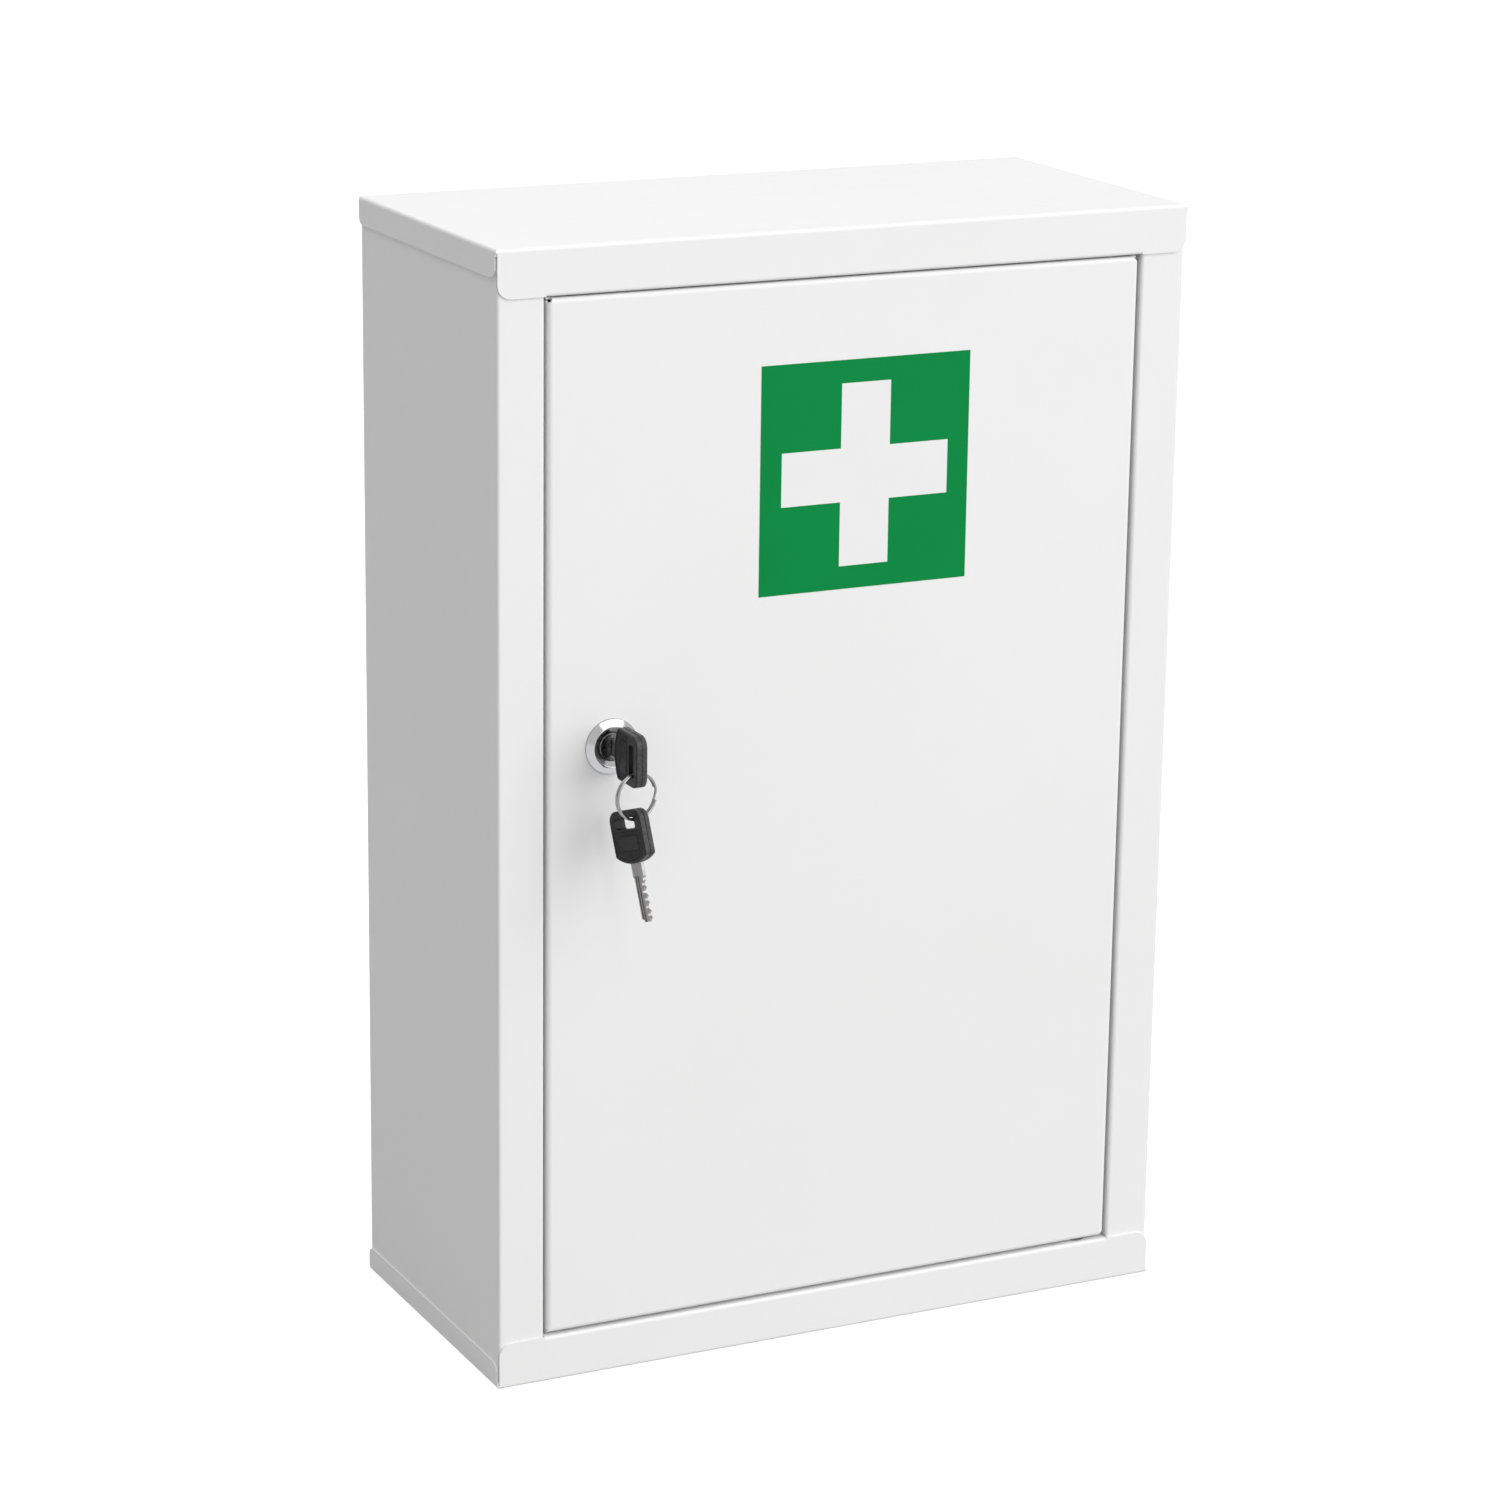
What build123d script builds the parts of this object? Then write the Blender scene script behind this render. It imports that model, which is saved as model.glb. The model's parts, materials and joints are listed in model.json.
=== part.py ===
"""Lockable wall cabinet for medicines: folded sheet steel, inset door on pivot pins, cam lock.

Millimetres. The origin is the centre of the cabinet's underside, +X is to the right of someone
facing the door, the door faces -Y and +Z is up. The rest pose is shut and unlocked: the key is
in the lock, the spare key hangs from it on a split ring and the cam points down.
"""
from build123d import *
from math import atan2, cos, degrees, radians, sin, sqrt
import os

# ---------------------------------------------------------------- driving dimensions
# Cabinet shell
BODY_WIDTH = 300.0        # across the two side walls
OVERALL_DEPTH = 140.0     # from the front of the lid's flange to the back wall
OVERALL_HEIGHT = 460.0
SHEET = 0.8               # thickness of every folded sheet
BEND = 0.5                # inside radius of a fold
BACK_FLANGE = 12.0        # flange at the top and bottom of the back wall
BACK_FLANGE_INSET = 9.0   # how far that flange stops short of each side wall

# Front frame
STILE_WIDTH = 19.5        # front face on each side of the door
STILE_RETURN = 17.6       # depth of the fold behind each stile
STOP_LIP = 10.0           # lip behind the lock side of the door: door stop and cam strike
LIP_RELIEF = 0.3          # space beside the rail lips, between the stile returns

# Lid and floor pans
RAIL_HEIGHT = 19.0        # front flange of both pans
RAIL_LIP = 16.0           # depth of the lip that carries a pivot pin
LID_SIDE_FLANGE = 11.2
FLOOR_SIDE_FLANGE = 10.2
RAIL_CORNER = 5.5         # rounded free corners of the front flanges
SIDE_CORNER_FRONT = 5.5
SIDE_CORNER_BACK = 3.5
CORNER_SEAM = 0.5         # open seam between the front and side flanges
RAIL_END_INSET = 0.7      # front flange's ends, short of the side flanges' outer faces

# Wall fixing holes in the back
WALL_HOLE_RADIUS = 3.5
WALL_HOLE_FROM_SIDE = 40.0
WALL_HOLE_FROM_END = 50.0

# Shelves and their ledges
SHELF_SHARES = {"lower_shelf": 1 / 3, "upper_shelf": 2 / 3}    # of the cabinet's height
SHELF_SIDE_GAP = 0.3
SHELF_FRONT_SETBACK = 23.0    # behind the stiles' front face
SHELF_BACK_GAP = 0.6
SHELF_FRONT_FLANGE = 12.0
SHELF_HEM = 6.0
SHELF_BACK_FLANGE = 10.0
LEDGE_LEG = 12.0
LEDGE_SHEET = 1.2
LEDGE_END_GAP = 5.0

# Door
DOOR_SIDE_GAP = 1.5
DOOR_TOP_GAP = 0.8
DOOR_BOTTOM_GAP = 1.2
DOOR_DEPTH = 15.0
DOOR_BEND = 1.2           # inside radius round the door's face
DOOR_LIP = 11.0           # stiffening lip behind each side of the door
DOOR_CORNER_NOTCH = 1.9   # relief where two door flanges meet
DOOR_CORNER_SLIT = 0.4

# Pivot hinge on the right-hand side
PIVOT_BEHIND_FACE = 5.5   # pin axis to the door's face
SWING_CLEARANCE = 0.2     # door's front corner to the stile as it swings past
PIN_RADIUS = 2.25
PIN_FIT = 0.05            # radial running clearance in a bush
PIN_REACH = 5.5           # pin beyond the door's flange
PIN_HEAD_RADIUS = 3.8
PIN_HEAD_THICKNESS = 1.5
PIN_TIP_CHAMFER = 0.6
BUSH_WALL = 1.0
BUSH_FLANGE_RADIUS = 5.2
BUSH_FLANGE_THICKNESS = 1.2
BUSH_LENGTH = 5.0
BUSH_SIDE_PLAY = 0.1      # bush flange to the door's side wall
WASHER_RADIUS = 3.6
WASHER_PLAY = 0.1

# Door bumpers on the stop lip
BUMPER_RADIUS = 4.0
BUMPER_PLAY = 0.1
BUMPER_FROM_END = 45.0
BUMPER_EDGE = 0.5

# Cam lock
LOCK_FROM_EDGE = 27.0     # from the door's free edge
LOCK_ABOVE_MIDDLE = 32.3  # above half the cabinet's height
BEZEL_RADIUS = 11.2
BEZEL_EDGE = 0.7          # straight edge of the bezel at the door
BEZEL_HEIGHT = 2.6
BEZEL_CREST_RADIUS = 8.3  # crest of the bezel, between its dome and its dish
DISH_DEPTH = 1.5
BEZEL_ROUND = 0.5         # rounding of the crest and of the outer edge
BARREL_RADIUS = 9.4
BARREL_ACROSS_FLATS = 16.2
BARREL_HOLE_CLEARANCE = 0.1
PLUG_HEAD_RADIUS = 5.7
PLUG_HEAD_LENGTH = 2.2
PLUG_RADIUS = 5.2
PLUG_FIT = 0.06
PLUG_PROUD = 0.5          # plug face in front of the bottom of the dish
PLUG_EDGE = 0.3
PLUG_TAIL_SQUARE = 7.0
PLUG_TAIL_TRIM = 0.4      # the square's corners, inside the plug's radius
NUT_ACROSS_FLATS = 24.0
NUT_THICKNESS = 4.0
NUT_CHAMFER = 0.8
TOOTH_WASHER_RADIUS = 12.6
TOOTH_WASHER_THICKNESS = 0.9
TOOTH_COUNT = 12
TOOTH_DEPTH = 1.3
CAM_CLEARANCE = 0.6       # cam to the stop lip's back
CAM_BARREL_GAP = 0.2
CAM_THICKNESS = 2.0
CAM_REACH = 34.0
CAM_HUB_RADIUS = 8.0
CAM_TIP_WIDTH = 11.0
CAM_TIP_CORNER = 3.0
CAM_SQUARE_PLAY = 0.1
CAM_SCREW_RADIUS = 2.0
CAM_SCREW_HEAD_RADIUS = 4.0
CAM_SCREW_HEAD = 2.4
CAM_SCREW_SLOT = 0.9
CAM_WASHER_RADIUS = 6.0
CAM_WASHER_THICKNESS = 0.8

# Keys
KEY_BLADE_BARE = 6.0      # plain shank between the bow and the lock plug
KEY_STOP_WALL = 2.4       # solid end of the plug behind the keyway
KEY_BLADE_THICKNESS = 1.4
KEY_SHANK_WIDTH = 6.8
KEY_BLADE_WIDTH = 5.4
KEY_TANG_LENGTH = 9.0
KEY_TANG_WIDTH = 5.6
KEYWAY_CLEARANCE = 0.2
KEY_GROOVE_WIDTH = 0.9
KEY_GROOVE_DEPTH = 0.35
KEY_GROOVES = ((-1, 0.07), (1, -0.07), (-1, 0.62), (1, 0.62))   # face, and share of half width
KEY_TIP_BEVEL = 1.6
KEY_CUT_PITCH = 3.0
KEY_CUT_FROM_TIP = 2.7    # tip to the first cut
KEY_CUT_FLAT = 0.9
KEY_CUT_DEPTHS = (0.8, 1.4, 1.0, 1.5, 1.1)
BOW_LENGTH = 21.0         # outer end to the middle of the curved shoulder
BOW_WIDTH = 20.8
BOW_THICKNESS = 4.7
BOW_SHOULDER_RISE = 3.0   # curve of the shoulder
BOW_SHOULDER_CORNER = 1.4
BOW_OUTER_CORNER = 4.5
BOW_EDGE = 0.6
BOW_SLOT_LENGTH = 12.8
BOW_SLOT_WIDTH = 4.4
BOW_SLOT_FROM_END = 3.0
BOW_SLOT_CORNER = 1.0
BOW_GRIP_DEPTH = 0.35     # sunk grip field on each face
BOW_GRIP_MARGIN = 1.1     # from the bow's edge
BOW_GRIP_FROM_SLOT = 0.7
BOW_PLATE_LENGTH = 5.6    # smooth plate left standing in that field
BOW_PLATE_WIDTH = 12.6
BOW_PLATE_CORNER = 0.8
BOW_PLATE_FROM_SLOT = 2.8
BOW_SEAM_WIDTH = 0.35     # parting groove round the edge
BOW_SEAM_DEPTH = 0.25

# Split ring
RING_RADIUS = 9.1         # to the middle of the wire
RING_WIRE_RADIUS = 0.5
RING_COIL_GAP = 0.06
RING_JOG = 32.0           # degrees over which one coil crosses to the other
RING_TWIST = 12.0         # degrees the hanging ring is turned about the vertical
RING_PLAY = 0.4           # ring to a key's slot edge
SPARE_GRIP = 4.8          # ring to the middle of the spare key's slot
BLADE_DENSITY = 8.5       # nickel silver, g/cm3
BOW_DENSITY = 1.2         # ABS, g/cm3

# ---------------------------------------------------------------- derived places
FRONT = -OVERALL_DEPTH / 2 + SHEET            # stiles' front face, and the door's
BACK = OVERALL_DEPTH / 2
HALF_WIDTH = BODY_WIDTH / 2
HALF_HEIGHT = OVERALL_HEIGHT / 2
SHELF_HEIGHTS = {name: share * OVERALL_HEIGHT for name, share in SHELF_SHARES.items()}
OPENING_HALF = HALF_WIDTH - STILE_WIDTH
DOOR_HALF = OPENING_HALF - DOOR_SIDE_GAP
LOCK_X = LOCK_FROM_EDGE - DOOR_HALF
LOCK_Z = HALF_HEIGHT + LOCK_ABOVE_MIDDLE
DOOR_LOW = RAIL_HEIGHT + DOOR_BOTTOM_GAP
DOOR_HIGH = OVERALL_HEIGHT - RAIL_HEIGHT - DOOR_TOP_GAP
DOOR_BACK = FRONT + DOOR_DEPTH
STOP_FACE = FRONT + STILE_RETURN - SHEET      # front of the stop lip
SWING_SPACE = DOOR_SIDE_GAP - SWING_CLEARANCE
PIVOT_FROM_EDGE = (PIVOT_BEHIND_FACE**2 - SWING_SPACE**2) / (2 * SWING_SPACE)
PIVOT_X = DOOR_HALF - PIVOT_FROM_EDGE
PIVOT_Y = FRONT + PIVOT_BEHIND_FACE
BUSH_BORE = PIN_RADIUS + PIN_FIT
BUSH_OUTER = BUSH_BORE + BUSH_WALL
CAM_FRONT = STOP_FACE + SHEET + CAM_CLEARANCE
BARREL_END = CAM_FRONT - CAM_BARREL_GAP
CAM_BACK = CAM_FRONT + CAM_THICKNESS
PLUG_FACE = FRONT - BEZEL_HEIGHT + DISH_DEPTH - PLUG_PROUD
KEY_SHOULDER = PLUG_FACE - KEY_BLADE_BARE     # middle of the bow's curved shoulder
KEY_BLADE_CUT = CAM_FRONT - KEY_STOP_WALL - KEYWAY_CLEARANCE - PLUG_FACE   # goes into the plug
CAM_SCREW_LENGTH = CAM_THICKNESS + KEY_STOP_WALL / 2
RING_COIL_OFFSET = RING_WIRE_RADIUS + RING_COIL_GAP / 2
RING_SAG = RING_RADIUS - sqrt(RING_RADIUS**2 - (BOW_THICKNESS / 2) ** 2)
RING_SEAT = RING_WIRE_RADIUS + RING_SAG + RING_PLAY   # wire centre to a slot edge
SLOT_OUTER = -(BOW_LENGTH - BOW_SLOT_FROM_END)        # slot's edge nearest the bow's end
SLOT_INNER = SLOT_OUTER + BOW_SLOT_WIDTH
SLOT_MIDDLE = (SLOT_OUTER + SLOT_INNER) / 2
RING_TOP = (LOCK_X, KEY_SHOULDER + SLOT_MIDDLE, LOCK_Z - BOW_SLOT_LENGTH / 2 + RING_SEAT)


# ---------------------------------------------------------------- helpers
def block(x0, x1, y0, y1, z0, z1):
    """Box between two corners."""
    size = Box(x1 - x0, y1 - y0, z1 - z0)
    return Pos((x0 + x1) / 2, (y0 + y1) / 2, (z0 + z1) / 2) * size


def drum(x, y, z0, z1, radius):
    """Upright cylinder from z0 to z1."""
    return Pos(x, y, (z0 + z1) / 2) * Cylinder(radius, z1 - z0)


def lock_drum(radius, y0, y1):
    """Cylinder on the lock's axis, from y0 back to y1."""
    return Pos(LOCK_X, (y0 + y1) / 2, LOCK_Z) * Rot(90, 0, 0) * Cylinder(radius, y1 - y0)


def fold_outline(path, thickness, bend):
    """Closed outline of folded sheet. The path runs along one skin, with the sheet on its right."""
    points = [Vector(*p) for p in path]
    normals = []
    for a, b in zip(points, points[1:]):
        along = (b - a).normalized()
        normals.append(Vector(along.Y, -along.X, 0))
    far = [points[0] + normals[0] * thickness]
    for i in range(1, len(points) - 1):
        n1, n2 = normals[i - 1], normals[i]
        far.append(points[i] + (n1 + n2) * (thickness / (1 + n1.dot(n2))))
    far.append(points[-1] + normals[-1] * thickness)
    face = make_face(Polyline(*points, *reversed(far), close=True))
    for i in range(1, len(points) - 1):
        right_turn = (points[i + 1] - points[i]).dot(normals[i - 1]) > 0
        skin, hidden = (bend + thickness, bend) if right_turn else (bend, bend + thickness)
        for corner, radius in ((points[i], skin), (far[i], hidden)):
            face = fillet(face.vertices().sort_by_distance(corner)[0], radius)
    return face


def folded_x(path, x0, x1, bend=BEND, thickness=SHEET):
    """Folded sheet that runs along X, from a path in (Y, Z)."""
    return extrude(Plane.YZ.offset(x0) * fold_outline(path, thickness, bend), x1 - x0)


def folded_z(path, z0, z1, bend=BEND, thickness=SHEET):
    """Folded sheet that runs along Z, from a path in (X, Y)."""
    return extrude(Plane.XY.offset(z0) * fold_outline(path, thickness, bend), z1 - z0)


def edges_at(part, axis, value, along=None):
    """Edges whose middle lies at one value of an axis, and that run along another."""
    found = [e for e in part.edges() if abs(getattr(e @ 0.5, axis) - value) < 1e-4]
    if along is not None:
        found = ShapeList(found).filter_by(along)
    return ShapeList(found)


# ---------------------------------------------------------------- cabinet shell
def body_shell():
    """One sheet: stop lip, stile, side, back, side and stile, with flanges on the back wall."""
    path = [
        (-OPENING_HALF + STOP_LIP, STOP_FACE),
        (-OPENING_HALF, STOP_FACE),
        (-OPENING_HALF, FRONT),
        (-HALF_WIDTH, FRONT),
        (-HALF_WIDTH, BACK),
        (HALF_WIDTH, BACK),
        (HALF_WIDTH, FRONT),
        (OPENING_HALF, FRONT),
        (OPENING_HALF, FRONT + STILE_RETURN),
    ]
    low, high = SHEET, OVERALL_HEIGHT - SHEET
    shell = folded_z(path, low + BEND, high - BEND)
    reach = HALF_WIDTH - BACK_FLANGE_INSET
    for edge, up in ((low, 1), (high, -1)):
        drop = edge + up * 2 * (SHEET + BEND)
        band = sorted((edge, drop))
        shell -= block(-reach, reach, BACK - 2 * SHEET, BACK + SHEET, *band)
        run = [(BACK, drop), (BACK, edge), (BACK - BACK_FLANGE, edge)]
        shell += folded_x(run if up > 0 else list(reversed(run)), -reach, reach)
    for side_x in (-1, 1):
        for side_z in (-1, 1):
            x = side_x * (HALF_WIDTH - WALL_HOLE_FROM_SIDE)
            z = HALF_HEIGHT + side_z * (HALF_HEIGHT - WALL_HOLE_FROM_END)
            shell -= Pos(x, BACK, z) * Rot(90, 0, 0) * Cylinder(WALL_HOLE_RADIUS, 4 * SHEET)
    return shell


def end_pan(side_flange):
    """Floor pan with its flanges turned up. The lid is the same pan turned over."""
    half = HALF_WIDTH + SHEET
    front = FRONT - SHEET
    outer = block(-half, half, front, BACK, 0, RAIL_HEIGHT)
    rounded = edges_at(outer, "Z", 0, Axis.Y) + edges_at(outer, "Z", 0, Axis.X).sort_by(Axis.Y)[:1]
    outer = fillet(rounded, BEND + SHEET)
    inner = block(-half + SHEET, half - SHEET, front + SHEET, BACK + 1, SHEET, RAIL_HEIGHT + 1)
    rounded = edges_at(inner, "Z", SHEET, Axis.Y)
    rounded += edges_at(inner, "Z", SHEET, Axis.X).sort_by(Axis.Y)[:1]
    skin = outer - fillet(rounded, BEND)

    rail = Rectangle(2 * (half - RAIL_END_INSET), RAIL_HEIGHT)
    rail = Plane.XZ.offset(-front - SHEET) * Pos(0, RAIL_HEIGHT / 2) * rail
    rail = fillet(rail.vertices().group_by(Axis.Z)[-1], RAIL_CORNER)
    rail_zone = extrude(rail, SHEET, both=True)
    depth = BACK - front - SHEET
    sides = Plane.YZ * Pos(front + SHEET + depth / 2, side_flange / 2) * Rectangle(depth, side_flange)
    top = sides.vertices().group_by(Axis.Z)[-1].sort_by(Axis.Y)
    sides = fillet(top[:1], SIDE_CORNER_FRONT)
    top = sides.vertices().group_by(Axis.Z)[-1].sort_by(Axis.Y)
    sides = fillet(top[-1:], SIDE_CORNER_BACK)
    side_zone = extrude(sides, half + 1, both=True)
    floor_zone = block(-half, half, front, BACK, 0, SHEET + BEND)
    pan = skin & (rail_zone + side_zone + floor_zone)

    for side in (-1, 1):
        seam_x = side * (half - SHEET / 2)
        seam = block(seam_x - SHEET, seam_x + SHEET, front + SHEET, front + SHEET + CORNER_SEAM,
                     2 * (SHEET + BEND), RAIL_HEIGHT)
        pan -= seam

    lip_half = OPENING_HALF - LIP_RELIEF
    fold_low = RAIL_HEIGHT - 2 * (SHEET + BEND)
    pan -= block(-lip_half, lip_half, front - 1, front + SHEET + 1, fold_low, RAIL_HEIGHT + 1)
    lip = [(front, fold_low), (front, RAIL_HEIGHT), (front + RAIL_LIP, RAIL_HEIGHT)]
    pan += folded_x(lip, -lip_half, lip_half)
    pan -= drum(PIVOT_X, PIVOT_Y, RAIL_HEIGHT - 2 * SHEET, RAIL_HEIGHT + SHEET, PIN_RADIUS)
    return pan


def floor_pan():
    return end_pan(FLOOR_SIDE_FLANGE)


def lid_pan():
    pan = end_pan(LID_SIDE_FLANGE)
    return Pos(0, 0, OVERALL_HEIGHT) * mirror(pan, Plane.XY)


# ---------------------------------------------------------------- shelves
def shelf(top):
    """Shelf with a hemmed front flange and a plain back flange, both turned down."""
    half = HALF_WIDTH - SHEET - SHELF_SIDE_GAP
    y0 = FRONT + SHELF_FRONT_SETBACK
    y1 = BACK - SHEET - SHELF_BACK_GAP
    path = [
        (y0 + SHELF_HEM, top - SHELF_FRONT_FLANGE),
        (y0, top - SHELF_FRONT_FLANGE),
        (y0, top),
        (y1, top),
        (y1, top - SHELF_BACK_FLANGE),
    ]
    plate = folded_x(path, -half, half)
    clear = LEDGE_LEG + 2 * SHELF_SIDE_GAP
    for side in (-1, 1):
        x0, x1 = sorted((side * (half - clear), side * (half + 1)))
        for a, b in ((y0 - 1, y0 + SHELF_HEM + 1), (y1 - SHEET - BEND, y1 + 1)):
            plate -= block(x0, x1, a, b, top - SHELF_FRONT_FLANGE - 1, top - SHEET - BEND)
    return plate


def ledge(side, top):
    """Angle that is spot welded to a side wall and carries one end of a shelf."""
    wall = side * (HALF_WIDTH - SHEET)
    under = top - SHEET
    path = [(wall - side * LEDGE_LEG, under), (wall, under), (wall, under - LEDGE_LEG)]
    y0 = FRONT + SHELF_FRONT_SETBACK + SHEET + BEND + LEDGE_END_GAP
    y1 = BACK - SHEET - SHELF_BACK_GAP - SHEET - BEND - LEDGE_END_GAP
    if side < 0:
        path.reverse()
    outline = fold_outline(path, LEDGE_SHEET, BEND)
    return extrude(Plane.XZ.offset(-y0) * outline, -(y1 - y0))


# ---------------------------------------------------------------- door
def door_panel():
    """Folded door pan, with lips behind its sides and holes for the lock and the bushes."""
    outer = block(-DOOR_HALF, DOOR_HALF, FRONT, DOOR_BACK, DOOR_LOW, DOOR_HIGH)
    outer = fillet(edges_at(outer, "Y", FRONT), DOOR_BEND + SHEET)
    inner = block(-DOOR_HALF + SHEET, DOOR_HALF - SHEET, FRONT + SHEET, DOOR_BACK + 1,
                  DOOR_LOW + SHEET, DOOR_HIGH - SHEET)
    panel = outer - fillet(edges_at(inner, "Y", FRONT + SHEET), DOOR_BEND)

    lip_low = DOOR_LOW + DOOR_CORNER_NOTCH + SHEET
    lip_high = DOOR_HIGH - DOOR_CORNER_NOTCH - SHEET
    fold = 2 * (SHEET + BEND)
    for side in (-1, 1):
        x = side * DOOR_HALF
        x0, x1 = sorted((x - side * SHEET * 2, x + side))
        panel -= block(x0, x1, DOOR_BACK - fold, DOOR_BACK + 1, DOOR_LOW - 1, DOOR_HIGH + 1)
        path = [(x, DOOR_BACK - fold), (x, DOOR_BACK), (x - side * DOOR_LIP, DOOR_BACK)]
        if side > 0:
            path.reverse()
        panel += folded_z(path, lip_low, lip_high)

    notch = DOOR_CORNER_NOTCH
    for x in (-DOOR_HALF, DOOR_HALF):
        for z, inward in ((DOOR_LOW, 1), (DOOR_HIGH, -1)):
            relief = Pos(x, FRONT, z) * Rot(90, 0, 0) * Cylinder(notch, 2 * (SHEET + DOOR_BEND) + 1)
            panel -= relief
            a, b = sorted((z + inward * SHEET, z + inward * (SHEET + DOOR_CORNER_SLIT)))
            panel -= block(x - 2 * SHEET, x + 2 * SHEET, FRONT + SHEET, DOOR_BACK + 1, a, b)

    for z in (DOOR_LOW, DOOR_HIGH):
        panel -= drum(PIVOT_X, PIVOT_Y, z - 2 * SHEET, z + 2 * SHEET, BUSH_OUTER)
    panel -= barrel_form(BARREL_HOLE_CLEARANCE, FRONT - 1, FRONT + SHEET + 1)
    return panel


def door_bumpers():
    """Two rubber buttons stuck to the stop lip."""
    depth = STOP_FACE - DOOR_BACK - BUMPER_PLAY
    x = -OPENING_HALF + STOP_LIP - BUMPER_RADIUS - BUMPER_EDGE
    button = Rot(90, 0, 0) * Cylinder(BUMPER_RADIUS, depth)
    button = fillet(edges_at(button, "Y", -depth / 2), BUMPER_EDGE)
    heights = (DOOR_LOW + BUMPER_FROM_END, DOOR_HIGH - BUMPER_FROM_END)
    return [Pos(x, STOP_FACE - depth / 2, z) * button for z in heights]


# ---------------------------------------------------------------- pivot hinge
def pivot_pin(up):
    """Headed pin, staked in a rail lip and reaching through the door's flange."""
    lip, door = (RAIL_HEIGHT, DOOR_LOW) if up > 0 else (OVERALL_HEIGHT - RAIL_HEIGHT, DOOR_HIGH)
    tip = door + up * PIN_REACH
    under = lip - up * SHEET
    a, b = sorted((under, tip))
    shank = drum(PIVOT_X, PIVOT_Y, a, b, PIN_RADIUS)
    shank = chamfer(edges_at(shank, "Z", tip), PIN_TIP_CHAMFER)
    a, b = sorted((under, under - up * PIN_HEAD_THICKNESS))
    head = drum(PIVOT_X, PIVOT_Y, a, b, PIN_HEAD_RADIUS)
    head = fillet(edges_at(head, "Z", under - up * PIN_HEAD_THICKNESS), PIN_HEAD_THICKNESS / 2)
    return shank + head


def pivot_bush(up):
    """Flanged nylon bush in the door's flange, with its flange inside the door."""
    door = DOOR_LOW if up > 0 else DOOR_HIGH
    inside = door + up * SHEET
    a, b = sorted((door, door + up * BUSH_LENGTH))
    sleeve = drum(PIVOT_X, PIVOT_Y, a, b, BUSH_OUTER)
    a, b = sorted((inside, inside + up * BUSH_FLANGE_THICKNESS))
    flange = drum(PIVOT_X, PIVOT_Y, a, b, BUSH_FLANGE_RADIUS)
    # the flange stops at the door's front and side walls
    flange &= block(PIVOT_X - 2 * BUSH_FLANGE_RADIUS, DOOR_HALF - SHEET - BUSH_SIDE_PLAY,
                    FRONT + SHEET + DOOR_BEND, DOOR_BACK, a, b)
    a, b = sorted((door - up, door + up * (BUSH_LENGTH + 1)))
    bore = drum(PIVOT_X, PIVOT_Y, a, b, BUSH_BORE)
    return sleeve + flange - bore


def pivot_washer():
    """Washer on the lower pin that carries the door's weight."""
    high = DOOR_LOW - WASHER_PLAY
    ring = drum(PIVOT_X, PIVOT_Y, RAIL_HEIGHT, high, WASHER_RADIUS)
    return ring - drum(PIVOT_X, PIVOT_Y, RAIL_HEIGHT - 1, high + 1, PIN_RADIUS)


# ---------------------------------------------------------------- cam lock
def barrel_form(grow, y0, y1):
    """Threaded barrel's form: a cylinder with two flats."""
    flat = BARREL_ACROSS_FLATS / 2 + grow
    wide = BARREL_RADIUS + grow
    between = block(LOCK_X - wide, LOCK_X + wide, y0, y1, LOCK_Z - flat, LOCK_Z + flat)
    return lock_drum(wide, y0, y1) & between


def lock_turned(points):
    """Ring turned about the lock's axis from points (radius, distance in front of the door)."""
    outline = make_face(Polyline(*[(r, h) for r, h in points], close=True))
    centre = (LOCK_X, FRONT, LOCK_Z)
    section = Plane(origin=centre, x_dir=(1, 0, 0), z_dir=(0, 0, 1)) * mirror(outline, Plane.XZ)
    return revolve(section, Axis(centre, (0, 1, 0)))


def lock_housing():
    """Bezel with a domed rim and a dished middle, and the threaded barrel behind it."""
    bore = PLUG_RADIUS + PLUG_FIT
    rim = lock_turned([
        (bore, 0),
        (BEZEL_RADIUS, 0),
        (BEZEL_RADIUS, BEZEL_EDGE),
        (BEZEL_CREST_RADIUS, BEZEL_HEIGHT),
        (PLUG_HEAD_RADIUS + PLUG_FIT, BEZEL_HEIGHT - DISH_DEPTH),
        (bore, BEZEL_HEIGHT - DISH_DEPTH),
    ])
    crest = [e for e in rim.edges() if abs((e @ 0).Y - (FRONT - BEZEL_HEIGHT)) < 1e-4]
    shoulder = [e for e in rim.edges() if abs((e @ 0).Y - (FRONT - BEZEL_EDGE)) < 1e-4]
    rim = fillet(ShapeList(crest + shoulder).filter_by(GeomType.CIRCLE), BEZEL_ROUND)
    housing = rim + barrel_form(0, FRONT, BARREL_END)
    housing -= lock_drum(bore, FRONT - BEZEL_HEIGHT - 1, BARREL_END + 1)
    housing -= lock_drum(PLUG_HEAD_RADIUS + PLUG_FIT, FRONT - BEZEL_HEIGHT - 1,
                         PLUG_FACE + PLUG_HEAD_LENGTH + PLUG_FIT)
    return housing


def lock_washer():
    """Toothed washer between the door and the nut."""
    y0, y1 = FRONT + SHEET, FRONT + SHEET + TOOTH_WASHER_THICKNESS
    washer = lock_drum(TOOTH_WASHER_RADIUS, y0, y1)
    for i in range(TOOTH_COUNT):
        tooth = Box(TOOTH_DEPTH * 2, 3 * TOOTH_WASHER_THICKNESS, TOOTH_DEPTH)
        place = Pos(LOCK_X, y0, LOCK_Z) * Rot(0, 360 / TOOTH_COUNT * i, 0)
        washer -= place * Pos(TOOTH_WASHER_RADIUS, 0, 0) * tooth
    return washer - barrel_form(BARREL_HOLE_CLEARANCE, y0 - 1, y1 + 1)


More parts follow.
